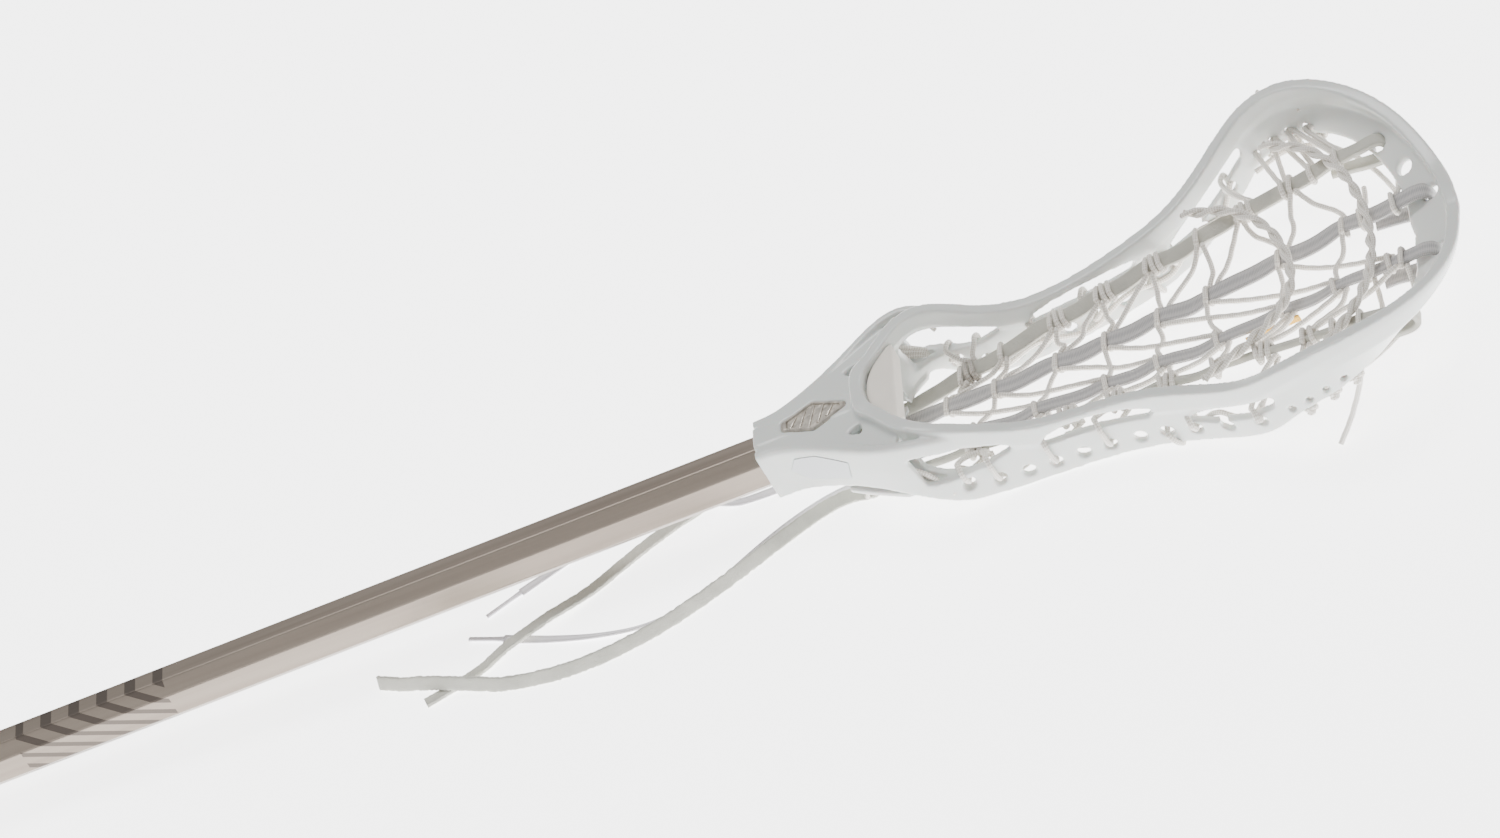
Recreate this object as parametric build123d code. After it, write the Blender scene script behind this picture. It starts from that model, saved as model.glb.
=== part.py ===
from build123d import *
import math
import os

# A women's lacrosse stick, lying on a table with the open face up.
# Everything is drawn in the stick's own frame, in millimetres:
#   X runs along the shaft's axis towards the scoop, with X = 0 at the mouth of the throat's collar,
#   Y is sideways (left is +Y) and Z is up, out of the open face.
# place() then tilts and lifts the whole stick, so that the butt cap and the lower rails both touch Z = 0.

# --- driving dimensions -------------------------------------------------------------------------
SHAFT_WIDTH = 20.4          # across the side flats, Y
SHAFT_HEIGHT = 22.4         # across the top and bottom flats, Z
SHAFT_CHAMFER = 5.6         # each corner of the octagon, both ways
SHAFT_WALL = 1.3
SHAFT_OUTSIDE = 750.0       # from the collar's mouth to the butt end
SHAFT_INSERTED = 46.0       # inside the collar
FIT_CLEARANCE = 0.1         # between the shaft and what slides over it

CAP_LENGTH = 38.0           # rubber sleeve over the shaft
CAP_WALL = 3.2
CAP_END = 4.0               # closed end beyond the shaft

COLLAR_WALL = 3.0
COLLAR_LENGTH = 47.0
DECK_TOP = 13.8             # top of the throat, where the badge is set in
BADGE_DEPTH = 1.8
INLAY_DEPTH = 0.9
FLOOR_PLATE_TOP = -14.0
FLOOR_PLATE_THICKNESS = 3.0

SCREW_X = 25.0              # holds the shaft in the collar, from below
SCREW_RADIUS = 2.0
SCREW_LENGTH = 8.0
SCREW_HEAD_RADIUS = 3.6
SCREW_HEAD_HEIGHT = 2.2

WALL_THICKNESS = 4.2        # side wall and lower rail
RAIL_WIDTH = 6.3            # top rail, inwards from the rim
ARM_THICKNESS = 4.6
STRING_HOLE_RADIUS = 3.2
HOLE_RISE = 7.8             # string holes above the lower rail's bottom edge

NYLON = 2.6                 # diameter of the nylon cord
LEATHER_WIDTH = 7.0
LEATHER_THICKNESS = 3.0
LACE_WIDTH = 9.5            # woven inner runners
LACE_THICKNESS = 2.2
THONG_TAIL = 3.4            # the free leather ends, as round cords of the same section
LACE_TAIL = 2.4             # the free lace ends
AGLET_LENGTH = 19.0
PAD_CHORD_X = 70.0          # straight front of the foam at the ball stop
PAD_TOP = 16.6
PAD_BOTTOM = 5.0

# Half of the rim, from the middle of the ball stop to the middle of the scoop. Each station has the rim's
# outer top edge (x, y, z), the top rail's height, the knee below it (inwards, down) and the foot, the wall's
# bottom outer edge (inwards, down).
STATIONS = [
    (49.6, 0.0, 19.4, 6.0, (0.8, 9.0), (0.8, 34.0)),
    (55.6, 18.5, 19.5, 6.0, (0.8, 9.0), (0.8, 34.0)),
    (67.4, 33.9, 19.3, 7.0, (0.8, 10.0), (0.8, 34.2)),
    (78.4, 42.6, 18.0, 8.0, (0.8, 11.0), (0.7, 36.0)),
    (87.0, 45.1, 15.4, 9.0, (0.8, 12.0), (0.8, 40.5)),
    (104.1, 44.7, 6.8, 9.5, (0.8, 12.5), (1.5, 39.0)),
    (123.2, 45.1, -0.8, 10.0, (0.8, 13.0), (2.0, 32.5)),
    (145.2, 47.2, -2.3, 10.0, (0.8, 12.5), (2.0, 30.4)),
    (173.1, 53.3, -0.5, 10.0, (0.8, 12.0), (2.0, 31.5)),
    (199.3, 65.7, 1.2, 9.5, (0.8, 12.0), (2.0, 31.2)),
    (220.3, 81.0, 6.9, 9.0, (0.8, 12.0), (2.0, 31.0)),
    (231.5, 88.4, 11.9, 9.0, (0.8, 12.0), (2.0, 30.5)),
    (245.2, 94.1, 17.4, 8.0, (0.9, 12.0), (2.5, 28.4)),
    (261.7, 95.7, 20.5, 7.0, (1.0, 13.0), (4.0, 28.0)),
    (280.9, 90.7, 19.0, 5.5, (1.0, 13.0), (7.5, 26.0)),
    (300.2, 78.0, 13.2, 4.0, (1.5, 11.5), (12.5, 22.0)),
    (316.5, 56.6, 4.7, 3.0, (2.0, 8.5), (17.0, 17.0)),
    (327.4, 28.3, -3.2, 2.0, (2.0, 6.0), (21.0, 13.5)),
    (331.5, 0.0, -5.5, 2.0, (2.0, 5.0), (23.0, 12.5)),
]

# Windows between the rails, as outlines in X and Z, and the radius of their corners.
WINDOWS = [
    ([(69, 8.5), (78, 7.5), (93, 1.2), (108, -4.8), (116, -9.2), (99, -13.2), (86, -11.2), (72, -8.5)], 2.0),
    ([(122, -14.2), (130, -8.6), (139, -6.4), (154, -5.4), (168, -6.2), (181, -8.4), (176, -13.2), (150, -13.2)], 1.6),
    ([(189, -17.2), (208, -8.2), (230, -0.8), (238, 2.6), (236, -4.5), (222, -12.2), (205, -17.8)], 1.6),
]
HOLE_X = [88.4, 101.2, 114.4, 127.3, 140.6, 153.4, 167.6, 180.3, 193.9, 209.5, 226.4]
SCOOP_HOLE_X = [243.0, 252.0, 260.5, 269.0]
RUNNER_HOLE_RADIUS = 4.0

# Runner centre lines, from the throat to the scoop, on the left.
OUTER_RUNNER = [(67.0, 21.5, -18.8), (129.0, 31.72, -13.5), (297.0, 59.4, -2.0)]
INNER_RUNNER = [(60.0, 10.7, -18.4), (110.0, 12.51, -20.0), (200.0, 15.76, -18.0), (312.0, 19.8, -7.4)]
RUNNER_BEND = 60.0
EMPTY_SCOOP_HOLE = (309.0, 41.0)
SCOOP_HOLE_Z = -8.0

# --- placement on the table ---------------------------------------------------------------------
CAP_HALF_HEIGHT = SHAFT_HEIGHT / 2 + FIT_CLEARANCE + CAP_WALL
BUTT_X = -SHAFT_OUTSIDE - CAP_END
LOWEST_RAIL_X = 120.0
LOWEST_RAIL_Z = -33.35
TABLE_SLOPE = (LOWEST_RAIL_Z + CAP_HALF_HEIGHT) / (LOWEST_RAIL_X - BUTT_X)
TILT = math.degrees(math.atan(TABLE_SLOPE))
LEVEL_LIFT = CAP_HALF_HEIGHT * math.cos(math.radians(TILT)) + BUTT_X * math.sin(math.radians(TILT))


def table_z(x):
    """Height of the table in the stick's own frame."""
    return -CAP_HALF_HEIGHT + TABLE_SLOPE * (x - BUTT_X)


def mirrored(shape):
    return mirror(shape, about=Plane.XZ)


# --- the rim and the wall -----------------------------------------------------------------------
def rim_direction(index):
    """Direction of the rim at a station, from the stations on either side of it."""
    rim = [Vector(*station[:3]) for station in STATIONS]
    before = rim[index - 1] if index > 0 else Vector(rim[1].X, -rim[1].Y, rim[1].Z)
    after = rim[index + 1] if index < len(rim) - 1 else Vector(rim[-2].X, -rim[-2].Y, rim[-2].Z)
    first = rim[index] - before
    second = after - rim[index]
    return first * (second.length / first.length) + second * (first.length / second.length)


def station_plane(index):
    """Plane across the wall at a rim point: local X is inwards and local Y is up."""
    direction = rim_direction(index)
    inward = Vector(direction.Y, -direction.X, 0).normalized()
    return Plane(origin=STATIONS[index][:3], x_dir=inward, z_dir=inward.cross(Vector(0, 0, 1)))


def wall_section(index):
    """Closed outline of the top rail and the wall below it, at one station."""
    rail_height, knee, foot = STATIONS[index][3:]
    run = Vector(foot[0] - knee[0], foot[1] - knee[1]).normalized()
    across = Vector(run.Y, -run.X)
    knee_across = (across + Vector(1, 0)).normalized()
    outline = [
        (0, 0),
        (0, -rail_height),
        (knee[0], -knee[1]),
        (foot[0], -foot[1]),
        (foot[0] + WALL_THICKNESS * across.X, -foot[1] - WALL_THICKNESS * across.Y),
        (knee[0] + WALL_THICKNESS * knee_across.X, -knee[1] - WALL_THICKNESS * knee_across.Y),
        (RAIL_WIDTH, -rail_height),
        (RAIL_WIDTH, 0),
    ]
    return station_plane(index) * make_face(Polyline(*outline, close=True))


def along_stations(x, value):
    """Value of a station function at x, in straight steps between stations."""
    for first, second in zip(STATIONS, STATIONS[1:]):
        if first[0] <= x <= second[0]:
            share = (x - first[0]) / (second[0] - first[0])
            return value(first) * (1 - share) + value(second) * share
    raise ValueError("x is outside the head")


def foot_z(x):
    return along_stations(x, lambda station: station[2] - station[5][1])


def wall_inside_y(x):
    """Y of the lower wall's inner face on the left."""
    return along_stations(x, lambda station: station[1] - station[5][0]) - WALL_THICKNESS


def window_cutter(outline, radius):
    """Prism through both walls, with rounded corners."""
    face = make_face(Plane.XZ * Polyline(*outline, close=True))
    prism = extrude(face, amount=110, both=True)
    return fillet(prism.edges().filter_by(Axis.Y), radius)


def cross_hole(x, z, radius, length=240):
    return Pos(x, 0, z) * Rot(90, 0, 0) * Cylinder(radius, length)


def scoop_holes():
    """Round holes for the runners, square to the scoop's sloping band."""
    places = [(INNER_RUNNER[-1][0] + 5.5, INNER_RUNNER[-1][1]), EMPTY_SCOOP_HOLE, (OUTER_RUNNER[-1][0] + 4.5, 59.8)]
    holes = []
    for x, y in places:
        for side in (1, -1):
            holes.append(Pos(x, side * y, SCOOP_HOLE_Z) * Rot(0, -25, 0) * Cylinder(RUNNER_HOLE_RADIUS, 30))
    return holes


# --- throat -------------------------------------------------------------------------------------
def octagon(width, height, chamfer):
    half_width = width / 2
    half_height = height / 2
    corners = [
        (half_width - chamfer, half_height), (half_width, half_height - chamfer),
        (half_width, chamfer - half_height), (half_width - chamfer, -half_height),
        (chamfer - half_width, -half_height), (-half_width, chamfer - half_height),
        (-half_width, half_height - chamfer), (chamfer - half_width, half_height),
    ]
    return make_face(Plane.YZ * Polyline(*corners, close=True))


def octagon_prism(grow, start, end):
    """Prism of the shaft's section grown by a margin, from one X to another."""
    chamfer = SHAFT_CHAMFER + grow * (2 - math.sqrt(2))
    face = octagon(SHAFT_WIDTH + 2 * grow, SHAFT_HEIGHT + 2 * grow, chamfer)
    return Pos(start, 0, 0) * extrude(face, amount=end - start, dir=(1, 0, 0))


# Left arm from the collar to the side wall: outer face (x, y), top z, bottom z.
ARM = [
    (0.0, 13.4, 13.4, -13.6),
    (11.0, 14.6, 13.4, -12.6),
    (24.0, 20.6, 13.6, -11.0),
    (44.0, 33.6, 14.6, -9.6),
    (60.0, 44.2, 16.4, -12.0),
    (72.0, 48.6, 16.8, -17.5),
    (84.0, 48.2, 14.0, -25.0),
    (100.0, 44.6, 8.0, -30.6),
]


def arm():
    path = Spline(*[(x, y, 0) for x, y, top, bottom in ARM], tangents=[(1, 0, 0), (1, -0.12, 0)])
    sections = []
    for x, y, top, bottom in ARM:
        point = Vector(x, y, 0)
        tangent = path.tangent_at(path.param_at_point(point), position_mode=PositionMode.PARAMETER)
        inward = Vector(tangent.Y, -tangent.X, 0).normalized()
        plane = Plane(origin=point, x_dir=inward, z_dir=inward.cross(Vector(0, 0, 1)))
        middle = (top + bottom) / 2
        outline = [
            (1.0, top), (0.0, top - 2.0), (0.0, middle), (0.6, bottom),
            (ARM_THICKNESS - 0.6, bottom), (ARM_THICKNESS, middle), (ARM_THICKNESS, top),
        ]
        sections.append(plane * make_face(Polyline(*outline, close=True)))
    return loft(sections)


def plate(outline, bottom, thickness):
    """Flat plate from a half outline on the left, mirrored to the right."""
    other = [(x, -y) for x, y in reversed(outline)]
    face = make_face(Polyline(*outline, *other, close=True))
    return Pos(0, 0, bottom) * extrude(face, amount=thickness, dir=(0, 0, 1))


DECK = [(2.0, 12.0), (12.0, 13.0), (24.0, 18.5), (40.0, 28.5), (52.0, 37.0), (60.0, 41.5), (68.0, 40.0),
        (68.5, 35.0), (57.5, 19.5), (54.0, 12.0)]
DECK_WINDOW = [(44.5, 20.5), (51.5, 17.0), (52.0, 24.5)]
FLOOR_PLATE = [(33.0, 23.0), (44.0, 31.0), (60.0, 41.0), (75.0, 43.0), (75.0, 33.0), (66.0, 24.0), (62.0, 12.0)]
BADGE = [(13.8, 2.9), (29.5, 9.9), (45.5, 1.6)]
INLAY = [(12.5, 1.0), (16.5, 7.6), (27.0, 9.4), (41.5, 6.6), (38.5, -3.6), (19.0, -4.8)]


def inlay_shape(side, depth, proud):
    """Plate in the throat's side, following the arm's slant."""
    face = make_face(Plane.XZ * Polyline(*INLAY, close=True))
    slab = extrude(face, amount=60, both=True)
    piece = slab & arm_skin(depth, proud)
    return piece if side > 0 else mirrored(piece)


def arm_skin(depth, proud):
    """Layer of the arm's side where the inlay lies, from a depth below its face to a height above it."""
    path = [(x, y) for x, y, top, bottom in ARM[1:5]]
    outer = Spline(*[(x - 0.5 * proud, y + 0.86 * proud) for x, y in path])
    inner = Spline(*[(x + 0.5 * depth, y - 0.86 * depth) for x, y in path])
    ends = [Line(outer @ 0, inner @ 0), Line(outer @ 1, inner @ 1)]
    face = make_face([outer, inner, *ends])
    return Pos(0, 0, -20) * extrude(face, amount=40, dir=(0, 0, 1))


def head_frame():
    half = loft([wall_section(index) for index in range(len(STATIONS))])
    shell = half + mirrored(half)
    left_arm = arm()
    shell += left_arm
    shell += mirrored(left_arm)
    shell += octagon_prism(FIT_CLEARANCE + COLLAR_WALL, 0, COLLAR_LENGTH)
    shell += plate(DECK, DECK_TOP - 4.0, 4.0)
    shell += plate(FLOOR_PLATE, FLOOR_PLATE_TOP - FLOOR_PLATE_THICKNESS, FLOOR_PLATE_THICKNESS)
    shell -= octagon_prism(FIT_CLEARANCE, -1, SHAFT_INSERTED + FIT_CLEARANCE)
    shell -= plate(BADGE, DECK_TOP - BADGE_DEPTH, BADGE_DEPTH + 5)
    window = extrude(make_face(Polyline(*DECK_WINDOW, close=True)), amount=DECK_TOP + 1, dir=(0, 0, 1))
    shell -= window
    shell -= mirrored(window)
    for side in (1, -1):
        shell -= inlay_shape(side, INLAY_DEPTH + 0.1, 4.0)
    for outline, radius in WINDOWS:
        shell -= window_cutter(outline, radius)
    for x in HOLE_X:
        shell -= cross_hole(x, foot_z(x) + HOLE_RISE, STRING_HOLE_RADIUS)
    for x in SCOOP_HOLE_X:
        shell -= cross_hole(x, foot_z(x) + 5.0, 1.8)
    for hole in scoop_holes():
        shell -= hole
    for runner, radius in ((OUTER_RUNNER, 3.6), (INNER_RUNNER, 3.6)):
        x, y, z = runner[0]
        for side in (1, -1):
            shell -= Pos(x - 6.0, side * y, FLOOR_PLATE_TOP) * Cylinder(radius, 12)
    shell -= Pos(SCREW_X, 0, -SHAFT_HEIGHT / 2) * Cylinder(SCREW_RADIUS + 0.05, 20)
    return shell


# --- shaft, cap and screw -----------------------------------------------------------------------
def shaft():
    tube = octagon_prism(0, -SHAFT_OUTSIDE, SHAFT_INSERTED)
    edges = tube.edges().filter_by(Axis.X)
    tube = fillet(edges, 1.6)
    tube -= octagon_prism(-SHAFT_WALL, -SHAFT_OUTSIDE - 1, SHAFT_INSERTED + 1)
    tube -= Pos(SCREW_X, 0, -SHAFT_HEIGHT / 2) * Cylinder(SCREW_RADIUS + 0.05, 6)
    return tube


def end_cap():
    outer = octagon_prism(FIT_CLEARANCE + CAP_WALL, BUTT_X, -SHAFT_OUTSIDE + CAP_LENGTH)
    outer = fillet(outer.edges(), 1.4)
    return outer - octagon_prism(FIT_CLEARANCE, -SHAFT_OUTSIDE - FIT_CLEARANCE, 0)


def head_screw():
    seat = -SHAFT_HEIGHT / 2 - FIT_CLEARANCE - COLLAR_WALL
    shank = Pos(SCREW_X, 0, seat + SCREW_LENGTH / 2) * Cylinder(SCREW_RADIUS, SCREW_LENGTH)
    head = Pos(SCREW_X, 0, seat - 0.05 - SCREW_HEAD_HEIGHT / 2) * Cylinder(SCREW_HEAD_RADIUS, SCREW_HEAD_HEIGHT)
    neck = Pos(SCREW_X, 0, seat) * Cylinder(SCREW_RADIUS, 0.4)
    slot = Pos(SCREW_X, 0, seat - SCREW_HEAD_HEIGHT) * Box(5.4, 1.0, 1.6)
    return shank + neck + head - slot


# --- soft pieces --------------------------------------------------------------------------------
def ball_stop_pad():
    """Half-moon of foam inside the ball-stop wall."""
    arc = ThreePointArc((PAD_CHORD_X, 27.0), (56.4, 0.0), (PAD_CHORD_X, -27.0))
    face = make_face([arc, Line(arc @ 1, arc @ 0)])
    block = Pos(0, 0, PAD_BOTTOM) * extrude(face, amount=PAD_TOP - PAD_BOTTOM, dir=(0, 0, 1))
    return fillet(block.edges().group_by(Axis.Z)[-1], 1.5)


def runner(points, width, thickness):
    """Strap along points in one upright plane, flat side up."""
    along = Vector(*points[1]) - Vector(*points[0])
    section = RectangleRounded(width, thickness, 0.45 * thickness)
    plane = Plane(origin=points[0], x_dir=along.cross(Vector(0, 0, 1)).normalized(), z_dir=along.normalized())
    if len(points) == 2:
        return extrude(plane * section, amount=along.length)
    return sweep(plane * section, path=FilletPolyline(*points, radius=RUNNER_BEND))


def bend_radii(points):
    """Largest arc at each corner: 0.45 of the shorter run over the tangent of half the turn."""
    radii = []
    for before, corner, after in zip(points, points[1:], points[2:]):
        first = Vector(*corner) - Vector(*before)
        second = Vector(*after) - Vector(*corner)
        half_turn = math.radians(first.get_angle(second)) / 2
        radii.append(0.45 * min(first.length, second.length) / math.tan(half_turn))
    return radii


def tube(points, diameter):
    """Round cord along straight runs joined by tangent arcs."""
    path = FilletPolyline(*points, radius=bend_radii(points))
    start = Plane(origin=path @ 0, z_dir=path % 0)
    cord = sweep(start * Circle(diameter / 2), path=path)
    expected = math.pi * diameter ** 2 / 4 * path.length
    if abs(cord.volume - expected) > 0.02 * expected:
        print("volume differs from section times length:", round(cord.volume), round(expected))
    return cord


def on_runner(points, x, lift=0.0):
    """Point on a runner's centre line at x, raised by lift."""
    for start, end in zip(points, points[1:]):
        if x <= end[0]:
            break
    share = (x - start[0]) / (end[0] - start[0])
    return (x, start[1] + share * (end[1] - start[1]), start[2] + share * (end[2] - start[2]) + lift)


LACE_LIFT = 3.2             # cord centre above a runner's centre
STRING_LIFT = 6.4           # shooting strings lie over the lacing


def zigzag(xs, first_side, second_side):
    """Points that go from side to side at the given x values."""
    return [first_side(x) if index % 2 == 0 else second_side(x) for index, x in enumerate(xs)]


def steps(start, end, count):
    return [start + (end - start) * index / (count - 1) for index in range(count)]


def inner_edge(x, inset):
    """Point over the left inner runner, inset from its centre line."""
    px, py, pz = on_runner(INNER_RUNNER, x, LACE_LIFT)
    return (px, py - inset, pz)


def outer_edge(x, inset):
    px, py, pz = on_runner(OUTER_RUNNER, x, LACE_LIFT)
    return (px, py - inset, pz)


def flip(point):
    return (point[0], -point[1], point[2])


def cross_lace_centre():
    xs = steps(82, 298, 14)
    return tube(zigzag(xs, lambda x: inner_edge(x, 2.0), lambda x: flip(inner_edge(x, 2.0))), NYLON)


def cross_lace_inner():
    """Lacing between the left inner and outer runners."""
    xs = steps(88, 286, 14)
    return tube(zigzag(xs, lambda x: inner_edge(x, -2.0), lambda x: outer_edge(x, 2.0)), NYLON)


def wall_point(x):
    return (x, wall_inside_y(x) - 2.4, foot_z(x) + 15.5)


def cross_lace_outer():
    """Lacing between the left outer runner and the side wall."""
    xs = steps(188, 236, 5)
    return tube(zigzag(xs, lambda x: outer_edge(x, -5.4), wall_point), NYLON)


def sidewall_string():
    """Cord along the inside of the left lower rail, level with its string holes."""
    xs = [86, 104, 126, 148, 170, 190, 206, 219, 229]
    return tube([(x, wall_inside_y(x) - 3.6, foot_z(x) + HOLE_RISE) for x in xs], NYLON)


def shooting_string(half):
    """Doubled string across the pocket, from a half route on the left."""
    points = half + [flip(point) for point in reversed(half)]
    return tube(points, 2 * NYLON)


UPPER_STRING = [(248, 82.0, 3.8), (268, 66.0, 5.4), (283, 42.0, 3.4), (289, 15.0, -0.6)]
LOWER_STRING = [(207, 58.0, 1.8), (228, 47.0, 2.6), (243, 31.0, 0.2), (250, 11.0, -3.4)]


def scoop_lace():
    """Cord along the scoop's lower edge, under the band."""
    half = [(240, 82.0, -12.0), (256, 84.5, -9.0), (272, 80.0, -9.5), (286, 68.0, -13.0), (297, 50.0, -18.0),
            (304, 29.0, -22.5), (306.5, 9.0, -24.5)]
    return tube(half + [flip(point) for point in reversed(half)], NYLON)


def throat_lace():
    """Cord from the left arm down to the start of the lower rail."""
    return tube([(71.8, 27.0, 6.5), (74.5, 30.0, -2.0), (79.0, 33.0, -10.5), (85.0, 35.0, -17.5)], NYLON)


def pocket_tag():
    """Small folded tag beside the right inner runner."""
    start = Vector(*flip(on_runner(INNER_RUNNER, 224, -1.8)))
    end = Vector(*flip(on_runner(INNER_RUNNER, 250, -1.8)))
    return runner(((start.X, start.Y - 6.5, start.Z), (end.X, end.Y - 6.5, end.Z)), 2.6, 1.0)


# --- loose ends ---------------------------------------------------------------------------------
def on_table(x, y, diameter):
    """Centre of a cord that lies on the table."""
    return (x, y, table_z(x) + diameter / 2)


def lifted(x, y, height):
    """Centre of a cord that passes over another one, at a height above the table."""
    return (x, y, table_z(x) + height)


def thong_tail_right_route():
    top = [(55, -20.5, -17.2), (52, -18, -22.5), (42, -13, -28.0)]
    low = [(24, -7), (-4, -20), (-34, -37.5), (-68, -52), (-104, -58.5), (-134, -54.5)]
    over = [lifted(-158, -46, 5.6), lifted(-182, -33, 5.6)]
    return top + [on_table(x, y, THONG_TAIL) for x, y in low] + over + [on_table(-204, -20, THONG_TAIL)]


def thong_tail_left_route():
    top = [(55, 20.5, -17.2), (51.5, 21, -22.5), (42, 22, -28.0)]
    low = [(26, 24), (-4, 29), (-34, 26), (-64, 14.5), (-92, -2.5)]
    over = [lifted(-118, -18, 4.8), lifted(-142, -29, 4.8)]
    end = [on_table(-162, -37, THONG_TAIL), on_table(-182, -43, THONG_TAIL)]
    return top + [on_table(x, y, THONG_TAIL) for x, y in low] + over + end


def lace_tail_right_route():
    top = [(54, -10.7, -17.2), (51, -9.5, -22.5), (42, -5, -28.0)]
    low = [(26, -1), (1, -9.5), (-24, -23.5), (-48, -39.5), (-73, -45.5), (-98, -39.5), (-122, -29), (-143, -18.5)]
    return top + [on_table(x, y, LACE_TAIL) for x, y in low]


def lace_tail_left_route():
    top = [(54, 10.7, -17.2), (51, 10.9, -22.5), (42, 11.5, -28.0)]
    low = [(26, 13), (3, 15.5), (-18, 15)]
    over = [lifted(-40, 18.5, 5.2), lifted(-62, 24, 5.2)]
    end = [on_table(-86, 26.5, LACE_TAIL), on_table(-112, 19.5, LACE_TAIL), on_table(-134, 9, LACE_TAIL)]
    return top + [on_table(x, y, LACE_TAIL) for x, y in low] + over + end


def scoop_tail_route():
    return [(276, -80.5, -8.0), (272.5, -82.5, -14.5), (267, -84.5, -22), (261, -87.5, -29),
            (254, -91, table_z(254) + NYLON / 2)]


def aglet(route, diameter):
    """Plastic tip, in line with a lace's last run."""
    last = Vector(*route[-1])
    along = (last - Vector(*route[-2])).normalized()
    return extrude(Plane(origin=last, z_dir=along) * Circle(diameter / 2), amount=AGLET_LENGTH)


def print_route(name, route, diameter):
    length = tube(route, diameter).volume / (math.pi * diameter ** 2 / 4)
    print(name, "length", round(length), "radii", [round(radius) for radius in bend_radii(route)])


# --- all pieces ---------------------------------------------------------------------------------
def pieces():
    parts = {
        "shaft": shaft(),
        "end_cap": end_cap(),
        "head_frame": head_frame(),
        "head_screw": head_screw(),
        "badge_insert": plate(BADGE, DECK_TOP - BADGE_DEPTH, BADGE_DEPTH - 0.5),
        "throat_inlay_left": inlay_shape(1, INLAY_DEPTH, 0.15),
        "throat_inlay_right": inlay_shape(-1, INLAY_DEPTH, 0.15),
        "ball_stop_pad": ball_stop_pad(),
        "cross_lace_centre": cross_lace_centre(),
        "shooting_string_upper": shooting_string(UPPER_STRING),
        "shooting_string_lower": shooting_string(LOWER_STRING),
        "scoop_lace": scoop_lace(),
        "pocket_tag": pocket_tag(),
    }
    pairs = {
        "thong_outer": runner(OUTER_RUNNER, LEATHER_WIDTH, LEATHER_THICKNESS),
        "lace_runner": runner(INNER_RUNNER, LACE_WIDTH, LACE_THICKNESS),
        "cross_lace_inner": cross_lace_inner(),
        "cross_lace_outer": cross_lace_outer(),
        "sidewall_string": sidewall_string(),
        "throat_lace": throat_lace(),
    }
    for name, shape in pairs.items():
        parts[name + "_left"] = shape
        parts[name + "_right"] = mirrored(shape)
    tails = {
        "thong_tail_left": (thong_tail_left_route(), THONG_TAIL),
        "thong_tail_right": (thong_tail_right_route(), THONG_TAIL),
        "lace_tail_left": (lace_tail_left_route(), LACE_TAIL),
        "lace_tail_right": (lace_tail_right_route(), LACE_TAIL),
        "scoop_lace_tail": (scoop_tail_route(), NYLON),
    }
    for name, (route, diameter) in tails.items():
        parts[name] = tube(route, diameter)
        print_route(name, route, diameter)
    parts["aglet_left"] = aglet(lace_tail_left_route(), LACE_TAIL)
    parts["aglet_right"] = aglet(lace_tail_right_route(), LACE_TAIL)
    return parts


def place(shape, centre_x):
    """Level the stick on the table and put the origin under the middle of its length."""
    levelled = Rot(0, TILT, 0) * shape
    return Pos(-centre_x, 0, LEVEL_LIFT) * levelled


def main():
    os.makedirs("parts", exist_ok=True)
    parts = pieces()
    levelled = [Rot(0, TILT, 0) * parts[name] for name in ("head_frame", "end_cap")]
    highest_x = levelled[0].bounding_box().max.X
    lowest_x = levelled[1].bounding_box().min.X
    centre_x = (highest_x + lowest_x) / 2
    print("centre", round(centre_x, 3), "lift", round(LEVEL_LIFT, 3), "tilt", round(TILT, 4))
    for name, shape in parts.items():
        export_step(place(shape, centre_x), f"parts/{name}.step")


main()
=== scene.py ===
import math
import random

import bmesh
import bpy
from mathutils import Matrix, Vector


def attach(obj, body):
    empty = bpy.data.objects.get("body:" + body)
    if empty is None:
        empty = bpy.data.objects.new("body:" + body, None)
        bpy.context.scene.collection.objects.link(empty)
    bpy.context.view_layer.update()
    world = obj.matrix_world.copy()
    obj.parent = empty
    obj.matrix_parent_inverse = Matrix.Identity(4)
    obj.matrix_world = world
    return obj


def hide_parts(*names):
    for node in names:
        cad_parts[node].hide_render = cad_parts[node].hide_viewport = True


# A women's lacrosse stick. Shapes are drawn in the stick's own frame, in millimetres: X along the shaft
# towards the scoop with 0 at the collar's mouth, +Y left, Z up out of the open face. STICK turns them
# into the shared frame, in metres.
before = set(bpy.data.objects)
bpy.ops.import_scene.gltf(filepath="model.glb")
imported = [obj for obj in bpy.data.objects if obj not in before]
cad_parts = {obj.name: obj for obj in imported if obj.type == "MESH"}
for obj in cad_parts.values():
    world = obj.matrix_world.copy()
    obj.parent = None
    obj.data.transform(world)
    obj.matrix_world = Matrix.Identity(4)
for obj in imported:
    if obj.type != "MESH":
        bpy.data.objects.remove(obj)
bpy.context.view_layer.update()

TILT = math.radians(-1.2355)
CENTRE_X = -211.261
LIFT = 30.755
STICK = (
    Matrix.Scale(0.001, 4)
    @ Matrix.Translation((-CENTRE_X, 0, LIFT))
    @ Matrix.Rotation(TILT, 4, "Y")
)
CAP_HALF_HEIGHT = 14.5
BUTT_X = -754.0
TABLE_SLOPE = math.tan(TILT)

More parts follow.
